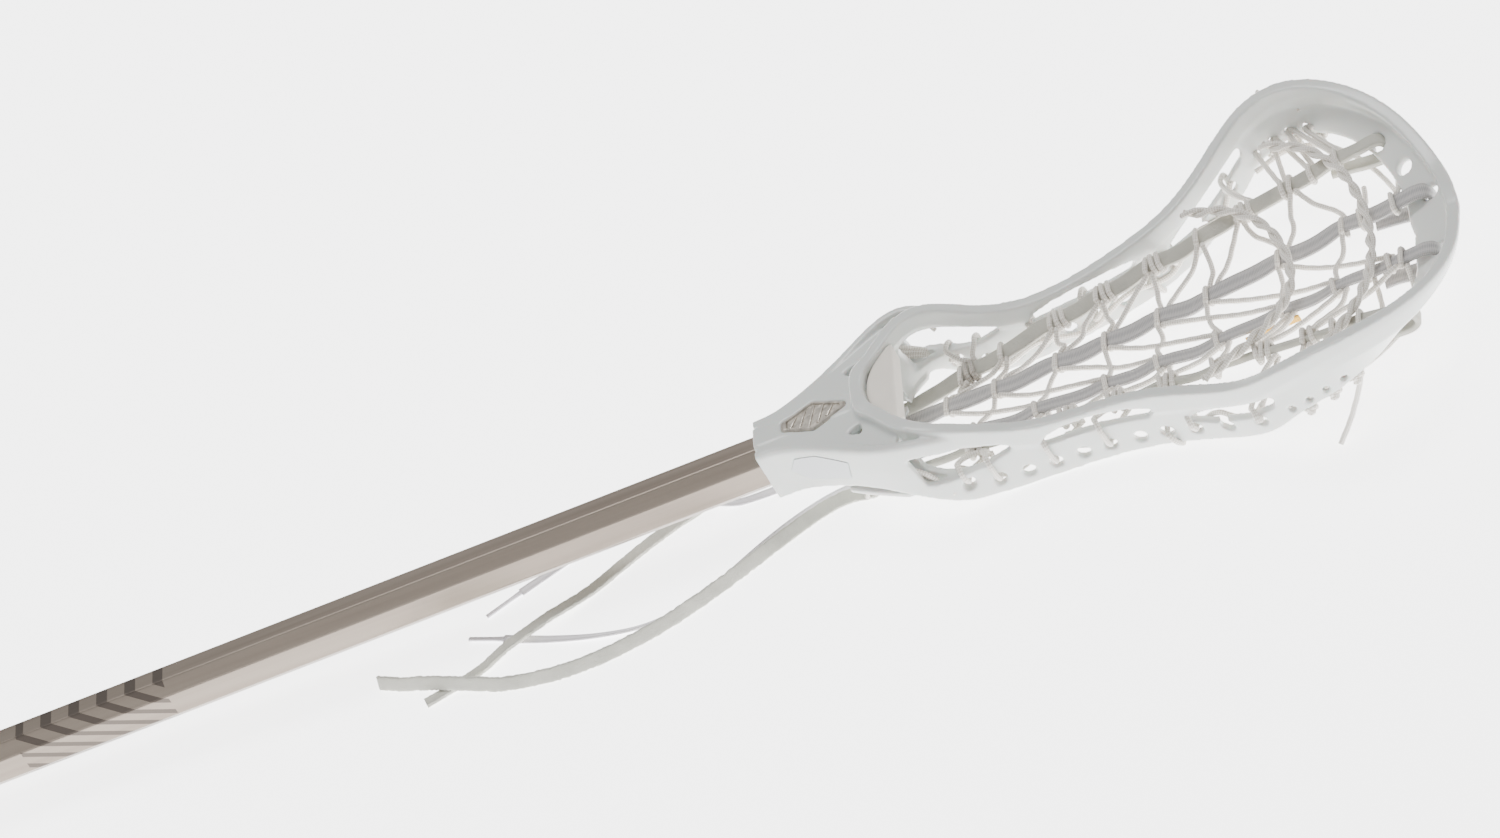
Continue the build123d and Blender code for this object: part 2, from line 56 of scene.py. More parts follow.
# Centre lines of the runners on the left, and where the cords are looped round them.
OUTER_RUNNER = [(67.0, 21.5, -18.8), (129.0, 31.72, -13.5), (297.0, 59.4, -2.0)]
INNER_RUNNER = [(60.0, 10.7, -18.4), (110.0, 12.51, -20.0), (200.0, 15.76, -18.0), (312.0, 19.8, -7.4)]
OUTER_LOOPS = [91, 111.5, 137, 160.5, 185.5, 211, 231.5, 258]
INNER_LOOPS_LEFT = [82, 105, 135, 159, 185, 209, 245, 277]
INNER_LOOPS_RIGHT = [94, 123, 157, 182, 211, 243, 269, 296]
UPPER_STRING = [(248, 82.0, 3.8), (268, 66.0, 5.4), (283, 42.0, 3.4), (289, 15.0, -0.6)]
LOWER_STRING = [(207, 58.0, 1.8), (228, 47.0, 2.6), (243, 31.0, 0.2), (250, 11.0, -3.4)]
OUTER_WIDTH = 7.2
OUTER_THICKNESS = 3.0
INNER_WIDTH = 9.5
INNER_THICKNESS = 1.9
NYLON = 2.5

# Cords drawn thinner than NYLON, and the sizes of their knots.
THIN_CORD = 2.1
ARM_CORD = 2.2
RAIL_KNOT = 2.6
SCOOP_KNOT = 2.8
SMALL_SCOOP_KNOT = 2.4

# Thickness that a loose end is given when its route is laid on the table.
THONG_TAIL = 3.4
LACE_TAIL = 2.4
NYLON_TAIL = 2.6
AGLET_LENGTH = 19.0
AGLET_WIDTH = 3.0
AGLET_THICKNESS = 1.5

# Loose ends are swept in the shared frame, so these are in metres.
THONG_WIDTH_M = 0.0066
THONG_THICKNESS_M = 0.0021
LACE_WIDTH_M = 0.0042
LACE_THICKNESS_M = 0.0011
SCOOP_CORD_M = 0.0026
TABLE_GAP_M = 0.00005
LYING_HEIGHT_M = 0.0025
LIFT_OFF_M = 0.002

# Printed band on the shaft, along X in metres, and the slant and share of its lines.
BAND_START_M = -0.160
BAND_END_M = -0.085
BAND_RUN = 420
BAND_RISE = 900
BAND_LINE_LEVEL = 0.35

# Voxel of the remeshed mouldings, in metres.
VOXEL_M = 0.0008

# How finely lines and sections are drawn.
STRAP_SIDES = 16
AGLET_STEPS = 24
KNOT_STEPS = 24
RUNNER_STEPS = 60
CORD_STEP = 0.8
LONG_STEP = 0.9
KNOT_STEP = 0.7

WORLD_LIGHT = 0.55
FLOOR_GLOW = 4.0
FLOOR_HALF_M = 12.0
FLOOR_HEIGHT_M = -0.0003

# Lower rail on the left: x, outer y and bottom z, and its string holes.
RAIL = [
    (78.0, 43.0, -20.0), (87.0, 44.3, -25.1), (104.1, 43.2, -32.2), (123.2, 43.1, -33.3),
    (145.2, 45.2, -32.7), (173.1, 51.3, -32.0), (199.3, 63.7, -30.0), (220.3, 79.0, -24.1),
    (231.5, 86.4, -18.6), (245.2, 91.6, -11.0),
]
RAIL_THICKNESS = 4.2
HOLE_RISE = 7.8
TIE_HOLES = [88.4, 101.2, 127.3, 153.4, 193.9, 226.4]
# Sill of the windows above the lower rail: x and z.
SILL = [
    (86.0, -11.2), (99.0, -13.2), (116.0, -9.2), (122.0, -14.2), (150.0, -13.2),
    (181.0, -13.2), (189.0, -17.2), (205.0, -17.8), (222.0, -12.2), (236.0, -4.5),
]
# Small holes in the wall beside the scoop, on its inside: x, y and z.
SCOOP_HOLES = [(243.0, 86.5, -6.0), (252.0, 87.2, -4.4), (260.5, 87.3, -2.8), (269.0, 84.0, -2.4)]
# How a runner's end folds back under the scoop: ahead of and below its last point.
RUNNER_FOLD = [
    (4.2, -1.0), (6.6, -4.6), (6.6, -8.4), (2.6, -10.6), (-5.0, -10.4), (-13.0, -9.4), (-22.0, -8.6),
]


def table_z(x):
    """Height of the table in the stick's own frame."""
    return -CAP_HALF_HEIGHT + TABLE_SLOPE * (x - BUTT_X)


def between(table, x):
    """Values of a table's rows at x, in straight steps."""
    for first, second in zip(table, table[1:]):
        if x <= second[0]:
            break
    share = (x - first[0]) / (second[0] - first[0])
    return [a + share * (b - a) for a, b in zip(first[1:], second[1:])]


def on_runner(line, x, side=1):
    """Point on a runner's centre line. side is 1 for left and -1 for right."""
    y, z = between(line, x)
    return Vector((x, side * y, z))


# --- materials ----------------------------------------------------------------------------------
def srgb(red, green, blue):
    """Near-linear colour from 0-255 screen values."""
    gamma = 2.2
    return tuple((value / 255) ** gamma for value in (red, green, blue))


class Finish:
    """A principled material with procedural colour and bump."""

    def __init__(self, name, colour, roughness, metallic=0.0, **sockets):
        self.material = bpy.data.materials.new(name)
        self.material.use_nodes = True
        self.tree = self.material.node_tree
        self.shader = self.tree.nodes["Principled BSDF"]
        self.colour = colour
        self.shader.inputs["Base Color"].default_value = (*colour, 1)
        self.shader.inputs["Roughness"].default_value = roughness
        self.shader.inputs["Metallic"].default_value = metallic
        for socket, value in sockets.items():
            self.shader.inputs[socket.replace("_", " ")].default_value = value
        self.normal = None

    def node(self, kind, **settings):
        node = self.tree.nodes.new(kind)
        for key, value in settings.items():
            setattr(node, key, value)
        return node

    def link(self, output, target):
        self.tree.links.new(output, target)

    def value(self, operation, first, second=0.0):
        """Output of a math node on sockets or numbers."""
        node = self.node("ShaderNodeMath", operation=operation)
        for socket, item in zip(node.inputs, (first, second)):
            if isinstance(item, (int, float)):
                socket.default_value = item
            else:
                self.link(item, socket)
        return node.outputs[0]

    def coordinates(self, kind):
        return self.node("ShaderNodeTexCoord").outputs[kind]

    def noise(self, scale, detail=4.0, stretch=(1, 1, 1)):
        mapping = self.node("ShaderNodeMapping")
        mapping.inputs["Scale"].default_value = stretch
        self.link(self.coordinates("Object"), mapping.inputs["Vector"])
        noise = self.node("ShaderNodeTexNoise")
        noise.inputs["Scale"].default_value = scale
        noise.inputs["Detail"].default_value = detail
        self.link(mapping.outputs[0], noise.inputs["Vector"])
        return noise.outputs["Fac"]

    def ramp(self, source, low, high, start=0.3, end=0.7):
        ramp = self.node("ShaderNodeValToRGB")
        ramp.color_ramp.elements[0].position = start
        ramp.color_ramp.elements[1].position = end
        ramp.color_ramp.elements[0].color = (*low, 1)
        ramp.color_ramp.elements[1].color = (*high, 1)
        self.link(source, ramp.inputs["Fac"])
        return ramp.outputs["Color"]

    def paint(self, output):
        self.link(output, self.shader.inputs["Base Color"])

    def vary(self, source, amount, start=0.3, end=0.7):
        """Base colour that darkens and lightens with a pattern."""
        low = tuple(value * (1 - amount) for value in self.colour)
        high = tuple(min(1.0, value * (1 + amount)) for value in self.colour)
        self.paint(self.ramp(source, low, high, start, end))

    def rough(self, source, low, high):
        spread = self.node("ShaderNodeMapRange")
        spread.inputs["To Min"].default_value = low
        spread.inputs["To Max"].default_value = high
        self.link(source, spread.inputs["Value"])
        self.link(spread.outputs[0], self.shader.inputs["Roughness"])

    def bump(self, height, strength, distance):
        bump = self.node("ShaderNodeBump")
        bump.inputs["Strength"].default_value = strength
        bump.inputs["Distance"].default_value = distance
        self.link(height, bump.inputs["Height"])
        if self.normal is not None:
            self.link(self.normal, bump.inputs["Normal"])
        self.normal = bump.outputs["Normal"]
        self.link(self.normal, self.shader.inputs["Normal"])

    def braid(self, around, along):
        """Diagonal crossing pattern from the UV map: U runs round the piece and V along it, in metres."""
        split = self.node("ShaderNodeSeparateXYZ")
        self.link(self.coordinates("UV"), split.inputs[0])
        turn = self.value("MULTIPLY", split.outputs["X"], around * 2 * math.pi)
        run = self.value("MULTIPLY", split.outputs["Y"], along)
        first = self.value("SINE", self.value("ADD", turn, run))
        second = self.value("SINE", self.value("SUBTRACT", turn, run))
        # The node adds its third input, which is 0.5 as made, so the pattern runs from 0 to 1.
        return self.value("MULTIPLY_ADD", self.value("MULTIPLY", first, second), 0.5)


def head_plastic():
    finish = Finish("head_plastic", srgb(214, 217, 213), 0.24, Subsurface_Weight=0.12,
                    Subsurface_Scale=0.004, Coat_Weight=0.15, Coat_Roughness=0.15)
    finish.vary(finish.noise(14, 2), 0.025)
    finish.rough(finish.noise(120, 3), 0.18, 0.3)
    finish.bump(finish.noise(900, 2), 0.08, 0.0002)
    return finish.material


def inlay_plastic():
    finish = Finish("inlay_plastic", srgb(214, 217, 219), 0.42)
    finish.vary(finish.noise(30, 3), 0.03)
    finish.bump(finish.noise(2200, 2), 0.2, 0.0001)
    return finish.material


def shaft_metal():
    """Anodised alloy, with a generic band of slanting lines printed on it."""
    finish = Finish("shaft_metal", srgb(136, 125, 115), 0.34, 0.75, Specular_IOR_Level=0.5)
    split = finish.node("ShaderNodeSeparateXYZ")
    finish.link(finish.coordinates("Object"), split.inputs[0])
    x, z = (split.outputs[axis] for axis in "XZ")
    grain = finish.noise(60, 3, (0.05, 3, 3))
    base = finish.ramp(grain, srgb(132, 121, 111), srgb(146, 135, 124))
    run = finish.value("MULTIPLY", x, BAND_RUN)
    rise = finish.value("MULTIPLY", z, BAND_RISE)
    wave = finish.value("SINE", finish.value("ADD", run, rise))
    lines = finish.value("GREATER_THAN", wave, BAND_LINE_LEVEL)
    start = finish.value("GREATER_THAN", x, BAND_START_M)
    end = finish.value("LESS_THAN", x, BAND_END_M)
    lines = finish.value("MULTIPLY", lines, finish.value("MULTIPLY", start, end))
    mix = finish.node("ShaderNodeMix", data_type="RGBA")
    finish.link(finish.value("MULTIPLY", lines, 0.8), mix.inputs["Factor"])
    finish.link(base, mix.inputs["A"])
    mix.inputs["B"].default_value = (*srgb(74, 68, 64), 1)
    finish.paint(mix.outputs["Result"])
    finish.rough(grain, 0.28, 0.42)
    finish.bump(finish.noise(500, 2, (0.04, 1, 1)), 0.06, 0.0001)
    return finish.material


def cap_rubber():
    finish = Finish("cap_rubber", srgb(44, 44, 46), 0.75)
    finish.vary(finish.noise(40, 4), 0.25)
    finish.bump(finish.noise(1400, 3), 0.4, 0.0003)
    return finish.material


def screw_steel():
    finish = Finish("screw_steel", srgb(170, 170, 172), 0.3, 1.0)
    finish.rough(finish.noise(900, 3), 0.22, 0.42)
    return finish.material


def foam():
    finish = Finish("foam", srgb(238, 231, 220), 0.85, Sheen_Weight=0.2)
    finish.vary(finish.noise(60, 3), 0.03)
    finish.bump(finish.noise(2600, 3), 0.3, 0.0003)
    return finish.material


def badge_metal():
    finish = Finish("badge_metal", srgb(196, 189, 178), 0.32, 1.0)
    hammered = finish.noise(260, 3)
    finish.vary(hammered, 0.2)
    finish.rough(finish.noise(500, 2), 0.22, 0.45)
    finish.bump(hammered, 0.5, 0.0006)
    return finish.material


def leather(name, colour, nap):
    finish = Finish(name, colour, 0.72, Sheen_Weight=0.3 * nap)
    finish.vary(finish.noise(90, 4), 0.09)
    finish.bump(finish.noise(1100, 5), 0.35 + 0.4 * nap, 0.0004)
    finish.bump(finish.noise(180, 3), 0.3, 0.0005)
    return finish.material


def woven(name, dark, light, around, along, sheen=0.3):
    finish = Finish(name, light, 0.62, Sheen_Weight=sheen)
    pattern = finish.braid(around, along)
    finish.paint(finish.ramp(pattern, dark, light, 0.15, 0.75))
    finish.bump(pattern, 0.7, 0.0003)
    finish.bump(finish.noise(2500, 2), 0.2, 0.0001)
    return finish.material


def aglet_plastic():
    finish = Finish("aglet_plastic", srgb(224, 221, 228), 0.22, Coat_Weight=0.4)
    finish.vary(finish.noise(200, 3), 0.04)
    finish.bump(finish.noise(700, 2), 0.15, 0.0001)
    return finish.material


def floor_paint():
    finish = Finish("floor_paint", (0.9, 0.9, 0.9), 0.9, Emission_Color=(1, 1, 1, 1),
                    Emission_Strength=FLOOR_GLOW)
    finish.vary(finish.noise(2, 2), 0.004)
    return finish.material


MATERIALS = {
    "head_plastic": head_plastic(),
    "inlay_plastic": inlay_plastic(),
    "shaft_metal": shaft_metal(),
    "cap_rubber": cap_rubber(),
    "screw_steel": screw_steel(),
    "foam": foam(),
    "badge_metal": badge_metal(),
    "leather": leather("leather", srgb(182, 180, 170), 0.2),
    "leather_tail": leather("leather_tail", srgb(196, 195, 184), 1.0),
    # The lace runners and the lace tails are one lace. The greyer colours on the runners are painted shade
    # from inside the head, and the whiter colours on the tails are painted light.
    "woven_lace": woven("woven_lace", srgb(150, 148, 149), srgb(188, 185, 183), 9, 4200),
    "flat_lace": woven("flat_lace", srgb(205, 200, 204), srgb(234, 231, 236), 8, 3400),
    "nylon_cord": woven("nylon_cord", srgb(206, 196, 184), srgb(244, 241, 234), 4, 2600, 0.15),
    "tag_fabric": woven("tag_fabric", srgb(222, 160, 40), srgb(244, 196, 76), 10, 3600),
    "aglet_plastic": aglet_plastic(),
}


# --- meshes along lines ------------------------------------------------------------------------
def through(points, step):
    """Smooth line through all the points, with a point about every step."""
    points = [Vector(point) for point in points]
    line = []
    padded = [points[0] * 2 - points[1], *points, points[-1] * 2 - points[-2]]
    for a, b, c, d in zip(padded, padded[1:], padded[2:], padded[3:]):
        count = max(2, round((c - b).length / step))
        for index in range(count):
            t = index / count
            line.append(0.5 * (2 * b + (c - a) * t + (2 * a - 5 * b + 4 * c - d) * t ** 2
                               + (3 * b - a - 3 * c + d) * t ** 3))
    line.append(points[-1])
    return line


def tangents_of(path):
    ends = zip([path[0], *path[:-1]], [*path[1:], path[-1]])
    return [(after - before).normalized() for before, after in ends]


def distances_of(path):
    total = [0.0]
    for before, after in zip(path, path[1:]):
        total.append(total[-1] + (after - before).length)
    return total


class Body:
    """Swept strands gathered into one mesh, with U round each strand and V along it in metres."""

    def __init__(self):
        self.vertices = []
        self.faces = []
        self.uvs = []

    def sweep(self, path, section, level=False, seat=None):
        """Follows a path with section(index, distance), a list of (sideways, upwards) points.

        level keeps the sides horizontal. seat(point, ring) is how far up a ring is moved.
        """
        distances = distances_of(path)
        up = Vector((0, 0, 1))
        normal = up
        first_ring = len(self.vertices)
        size = 0
        for index, (point, tangent) in enumerate(zip(path, tangents_of(path))):
            if level:
                normal = up
            normal = (normal - tangent * normal.dot(tangent)).normalized()
            side = tangent.cross(normal)
            ring = [point + side * a + normal * b for a, b in section(index, distances[index])]
            if seat:
                rise = Vector((0, 0, seat(point, ring)))
                ring = [vertex + rise for vertex in ring]
            size = len(ring)
            self.vertices += ring
        for index in range(len(path) - 1):
            low = first_ring + index * size
            v0 = distances[index] / 1000
            v1 = distances[index + 1] / 1000
            for corner in range(size):
                after = (corner + 1) % size
                self.faces.append((low + corner, low + after, low + size + after, low + size + corner))
                u0 = corner / size
                u1 = (corner + 1) / size
                self.uvs.append(((u0, v0), (u1, v0), (u1, v1), (u0, v1)))
        last = first_ring + (len(path) - 1) * size
        self.cap([*range(first_ring, first_ring + size)][::-1])
        self.cap([*range(last, last + size)])

    def cap(self, corners):
        self.faces.append(tuple(corners))
        self.uvs.append(tuple((0.0, 0.0) for corner in corners))

    def cord(self, path, diameter=NYLON, sides=10, lobes=3, twist=0.9, relief=0.06):
        """Laid cord: a round section with shallow grooves that turn along it."""
        def section(index, distance):
            points = []
            for side in range(sides):
                angle = 2 * math.pi * side / sides
                radius = diameter / 2 * (1 + relief * math.cos(lobes * angle + twist * distance))
                points.append((radius * math.cos(angle), radius * math.sin(angle)))
            return points
        self.sweep(path, section)

    def piece(self, name, slot, nodes, material=None, body="stick", place=STICK):
        """Object in the shared frame that stands for CAD nodes and rides on a body."""
        mesh = bpy.data.meshes.new(name)
        mesh.from_pydata([place @ vertex for vertex in self.vertices], [], self.faces)
        layer = mesh.uv_layers.new(name="UVMap")
        layer.data.foreach_set("uv", [value for face in self.uvs for uv in face for value in uv])
        mesh.polygons.foreach_set("use_smooth", [True] * len(mesh.polygons))
        mesh.materials.append(MATERIALS[material or slot])
        mesh.update()
        item = bpy.data.objects.new(name, mesh)
        bpy.context.scene.collection.objects.link(item)
        finish_piece(item, nodes, body)
        return item


def finish_piece(item, nodes, body="stick"):
    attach(item, body)
    if nodes:
        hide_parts(*nodes)


def strap_section(width, thickness, roundness=0.24):
    """Closed section of a flat strap, from a superellipse."""
    points = []
    for side in range(STRAP_SIDES):
        angle = 2 * math.pi * (side + 0.5) / STRAP_SIDES
        across = math.copysign(abs(math.cos(angle)) ** roundness, math.cos(angle))
        over = math.copysign(abs(math.sin(angle)) ** (roundness + 0.25), math.sin(angle))
        points.append((across * width / 2, over * thickness / 2))
    return points


# --- camera, light and floor ---------------------------------------------------------------------
def camera():
    """Long lens from above on the right-hand side, with the stick rising to the right of the frame."""
    right = Vector((0.9045, -0.0432, -0.4242))
    down = Vector((-0.3524, -0.6359, -0.6866))
    back = Vector((0.2401, -0.7705, 0.5905))
    place = STICK @ Vector((961.1, -3072.0, 2378.9))
    data = bpy.data.cameras.new("camera")
    data.sensor_width = 36.0
    data.lens = 216.0
    data.clip_end = 50
    item = bpy.data.objects.new("camera", data)
    turn = Matrix.Rotation(TILT, 3, "Y") @ Matrix((right, -down, back)).transposed()
    item.matrix_world = Matrix.Translation(place) @ turn.to_4x4()
    bpy.context.scene.collection.objects.link(item)
    bpy.context.scene.camera = item


def area_light(name, place, target, size, power):
    data = bpy.data.lights.new(name, "AREA")
    data.shape = "RECTANGLE"
    data.size, data.size_y = size
    data.energy = power
    item = bpy.data.objects.new(name, data)
    item.location = place
    item.rotation_euler = (Vector(target) - Vector(place)).to_track_quat("-Z", "Y").to_euler()
    bpy.context.scene.collection.objects.link(item)


def studio():
    world = bpy.data.worlds.new("studio")
    world.use_nodes = True
    background = world.node_tree.nodes["Background"]
    background.inputs["Color"].default_value = (1, 1, 1, 1)
    background.inputs["Strength"].default_value = WORLD_LIGHT
    bpy.context.scene.world = world
    area_light("key", place=(0.2, 0.9, 2.2), target=(0.3, 0, 0), size=(1.6, 0.9), power=40)
    area_light("fill", place=(-0.9, -1.8, 1.4), target=(0.2, 0, 0), size=(1.2, 0.6), power=7)
    mesh = bpy.data.meshes.new("floor")
    turns = ((-1, -1), (1, -1), (1, 1), (-1, 1))
    corners = [(x * FLOOR_HALF_M, y * FLOOR_HALF_M, FLOOR_HEIGHT_M) for x, y in turns]
    mesh.from_pydata(corners, [], [(0, 1, 2, 3)])
    mesh.materials.append(floor_paint())
    floor = bpy.data.objects.new("floor", mesh)
    bpy.context.scene.collection.objects.link(floor)


# --- loose ends ----------------------------------------------------------------------------------
def on_table(x, y, diameter):
    return (x, y, table_z(x) + diameter / 2)


def lifted(x, y, height):
    return (x, y, table_z(x) + height)


def tail_routes():
    """Points of each loose end, from the throat or scoop to its tip."""
    right_top = [(55, -20.5, -17.2), (52, -18, -22.5), (42, -13, -28.0)]
    right_low = [(24, -7), (-4, -20), (-34, -37.5), (-68, -52), (-104, -58.5), (-134, -54.5)]
    left_top = [(55, 20.5, -17.2), (51.5, 21, -22.5), (42, 22, -28.0)]
    left_low = [(26, 24), (-4, 29), (-34, 26), (-64, 14.5), (-92, -2.5)]
    lace_right_top = [(54, -10.7, -17.2), (51, -9.5, -22.5), (42, -5, -28.0)]
    lace_right_low = [(26, -1), (1, -9.5), (-24, -23.5), (-48, -39.5), (-73, -45.5), (-98, -39.5),
                      (-122, -29), (-143, -18.5)]
    lace_left_top = [(54, 10.7, -17.2), (51, 10.9, -22.5), (42, 11.5, -28.0)]
    lace_left_low = [(26, 13), (3, 15.5), (-18, 15)]
    lace_left_end = [(-86, 26.5), (-112, 19.5), (-134, 9)]
    return {
        "thong_tail_right": right_top + [on_table(x, y, THONG_TAIL) for x, y in right_low]
        + [lifted(-158, -46, 5.6), lifted(-182, -33, 5.6), on_table(-204, -20, THONG_TAIL)],
        "thong_tail_left": left_top + [on_table(x, y, THONG_TAIL) for x, y in left_low]
        + [lifted(-118, -18, 4.8), lifted(-142, -29, 4.8), on_table(-162, -37, THONG_TAIL),
           on_table(-182, -43, THONG_TAIL)],
        "lace_tail_right": lace_right_top + [on_table(x, y, LACE_TAIL) for x, y in lace_right_low],
        "lace_tail_left": lace_left_top + [on_table(x, y, LACE_TAIL) for x, y in lace_left_low]
        + [lifted(-40, 18.5, 5.2), lifted(-62, 24, 5.2)]
        + [on_table(x, y, LACE_TAIL) for x, y in lace_left_end],
        "scoop_lace_tail": [(276, -80.5, -8.0), (272.5, -82.5, -14.5), (267, -84.5, -22), (261, -87.5, -29),
                            on_table(254, -91, NYLON_TAIL)],
    }


def nurbs_line(points):
    """Points along one smooth NURBS line whose control points are the route's, in the shared frame."""
    data = bpy.data.curves.new("route", "CURVE")
    data.dimensions = "3D"
    data.resolution_u = 24
    spline = data.splines.new("NURBS")
    spline.points.add(len(points) - 1)
    for target, point in zip(spline.points, points):
        target.co = (*(STICK @ Vector(point)), 1)
    spline.order_u = 3
    spline.use_endpoint_u = True
    item = bpy.data.objects.new("route", data)
    mesh = bpy.data.meshes.new_from_object(item)
    line = [vertex.co.copy() for vertex in mesh.vertices]
    bpy.data.objects.remove(item)
    return line


def settle(point, ring):
    """How far up to move a ring so that it rests on the table. It only comes down where the cord is low."""
    gap = min(vertex.z for vertex in ring) - TABLE_GAP_M
    hold = min(1.0, max(0.0, 1 - (point.z - LYING_HEIGHT_M) / LIFT_OFF_M))
    return -gap * hold if gap > 0 else -gap


def tail_strap(name, route, width, thickness, slot, material, twist, nap=0.0):
    """Flat loose end. twist(share) is its roll about its own line, in degrees."""
    line = nurbs_line(route)
    length = distances_of(line)[-1]
    rough = random.Random(7)
    body = Body()

    def section(index, distance):
        share = distance / length
        roll = math.radians(twist(share))
        points = []
        for a, b in strap_section(width, thickness):
            fuzz = 1 + nap * rough.uniform(-1, 1)
            points.append(((a * math.cos(roll) - b * math.sin(roll)) * fuzz,
                           (a * math.sin(roll) + b * math.cos(roll)) * fuzz))
        return points

    body.sweep(line, section, level=True, seat=settle)
    item = body.piece(name + "_strap", slot, [name], material, place=Matrix.Identity(4))
    return item, line, length


def loose_ends():
    routes = tail_routes()
    leather_twist = {
        "thong_tail_right": lambda share: 12 + 50 * min(1.0, share * 3),
        "thong_tail_left": lambda share: 8 * math.sin(share * 5),
    }
    for name in ("thong_tail_right", "thong_tail_left"):
        item, line, length = tail_strap(name, routes[name], THONG_WIDTH_M, THONG_THICKNESS_M, "leather",
                                        "leather_tail", leather_twist[name], nap=0.07)
    for side in ("right", "left"):
        name = "lace_tail_" + side
        # The tails get the lace's whiter colours, which are painted light.
        item, line, length = tail_strap(name, routes[name], LACE_WIDTH_M, LACE_THICKNESS_M, "flat_lace",
                                        "flat_lace", lambda share: 25 * math.sin(share * 7))
        tip = aglet(side, routes[name])
    line = nurbs_line(routes["scoop_lace_tail"])
    body = Body()
    body.cord(line, SCOOP_CORD_M, twist=900)
    item = body.piece("scoop_lace_end", "nylon_cord", ["scoop_lace_tail"], place=Matrix.Identity(4))


def aglet(side, route):
    """Crimped plastic tip on a lace, in line with its last run."""
    end = Vector(route[-1])
    along = (end - Vector(route[-2])).normalized()
    path = [end + along * (AGLET_LENGTH * step / AGLET_STEPS) for step in range(AGLET_STEPS + 1)]

    def section(index, distance):
        squeeze = 1.0 - 0.25 * min(1.0, distance / 5.0)
        ripple = 1 + 0.03 * math.cos(distance * 2.4)
        flat = strap_section(AGLET_WIDTH, AGLET_THICKNESS, 0.6)
        return [(a * squeeze * ripple, b * ripple) for a, b in flat]

    body = Body()
    body.sweep(path, section, level=True)
    return body.piece("lace_tip_" + side, "aglet_plastic", ["aglet_" + side])


# --- runners -------------------------------------------------------------------------------------
def pinch(x, loops, reach=5.0):
    """1 where a cord is looped round the runner, falling to 0 between the loops."""
    return max([math.exp(-((x - loop) / reach) ** 2) for loop in loops])


def runner_path(line, side, loops, sag):
    """Runner from under the throat to behind the scoop, drawn down a little between its loops."""
    start, end = line[0][0], line[-1][0]
    points = [on_runner(line, start, side) + Vector((-back, 0, -0.6)) for back in (13, 8, 4)]
    for step in range(RUNNER_STEPS):
        x = start + (end - start) * step / (RUNNER_STEPS - 1)
        wave = sag * (1 - pinch(x, loops, 7.0)) + 0.45 * math.sin(x * 0.13)
        soften = 1.6 * max(0.0, 1 - abs(x - line[1][0]) / 22)
        drift = Vector((0, 0.5 * math.sin(x * 0.21), 0.9 - wave + 0.3 * soften))
        points.append(on_runner(line, x, side) + drift)
    last = points[-1]
    for ahead, below in RUNNER_FOLD:
        points.append(last + Vector((ahead, side * 0.3, below)))
    return through(points, LONG_STEP)


def runner(name, line, side, loops, width, thickness, slot, roll, pinching):
    path = runner_path(line, side, loops, 0.8)

    def section(index, distance):
        x = path[index].x
        squeeze = pinch(x, loops)
        wide = width * (1 - pinching * squeeze)
        thick = thickness * (1 + 0.5 * pinching * squeeze)
        lean = math.radians(roll) * side * min(1.0, max(0.0, (line[-1][0] - 8 - x) / 30))
        return [(a * math.cos(lean) - b * math.sin(lean), a * math.sin(lean) + b * math.cos(lean))
                for a, b in strap_section(wide, thick)]

    body = Body()
    body.sweep(path, section)
    body.piece(name + "_strap", slot, [name])


def runners():
    for side, word, inner in ((1, "left", INNER_LOOPS_LEFT), (-1, "right", INNER_LOOPS_RIGHT)):
        runner("thong_outer_" + word, OUTER_RUNNER, side, OUTER_LOOPS, OUTER_WIDTH, OUTER_THICKNESS,
               "leather", roll=-30, pinching=0.08)
        # The lace runners get the lace's greyer colours, which are painted shade.
        runner("lace_runner_" + word, INNER_RUNNER, side, inner, INNER_WIDTH, INNER_THICKNESS,
               "woven_lace", roll=-6, pinching=0.16)


# --- lacing --------------------------------------------------------------------------------------
def wrap(centre, width, thickness, side, turns=1.0, pitch=2.6, count=12):
    """Points of a cord looped round a flat runner, starting and ending on its side towards `side`."""
    half_width = width / 2 + NYLON * 0.42
    half_height = thickness / 2 + NYLON * 0.46
    points = []
    total = round(count * turns)
    for step in range(total + 1):
        angle = 2 * math.pi * turns * step / total
        across = math.copysign(abs(math.cos(angle)) ** 0.6, math.cos(angle))
        over = math.copysign(abs(math.sin(angle)) ** 0.6, math.sin(angle))
        shift = pitch * (step / total - 0.5) * turns
        points.append(centre + Vector((shift, side * across * half_width, over * half_height)))
    return points


def hook(centre, width, thickness, side):
    """Points of a cord that turns back under a flat runner."""
    reach = width / 2 + NYLON * 0.5
    return [
        centre + Vector((-1.6, side * reach, 0.4)),
        centre + Vector((-1.2, side * width * 0.2, -thickness / 2 - NYLON * 0.6)),
        centre + Vector((1.2, side * width * 0.2, -thickness / 2 - NYLON * 0.6)),
        centre + Vector((1.6, side * reach, 0.2)),
    ]


def looped_lace(stops, seed):
    """Slack cord from runner to runner. A stop is (shape, centre, width, thickness, side)."""
    slack = random.Random(seed)
    points = []
    for shape, *stop in stops:
        turn = shape(*stop)
        if points:
            before = points[-1]
            for share in (0.33, 0.67):
                drift = Vector((slack.uniform(-2.2, 2.2), 0, slack.uniform(-3.0, -1.0)))
                points.append(before.lerp(turn[0], share) + drift)
        points += turn
    return through(points, CORD_STEP)


def inner_stop(x, runner_side, towards, shape=wrap):
    centre = on_runner(INNER_RUNNER, x, runner_side) + Vector((0, 0, 0.6))
    return (shape, centre, INNER_WIDTH * 0.8, INNER_THICKNESS, towards)


def outer_stop(x, runner_side, towards):
    centre = on_runner(OUTER_RUNNER, x, runner_side) + Vector((0, 0, 0.6))
    return (wrap, centre, OUTER_WIDTH, OUTER_THICKNESS, towards)


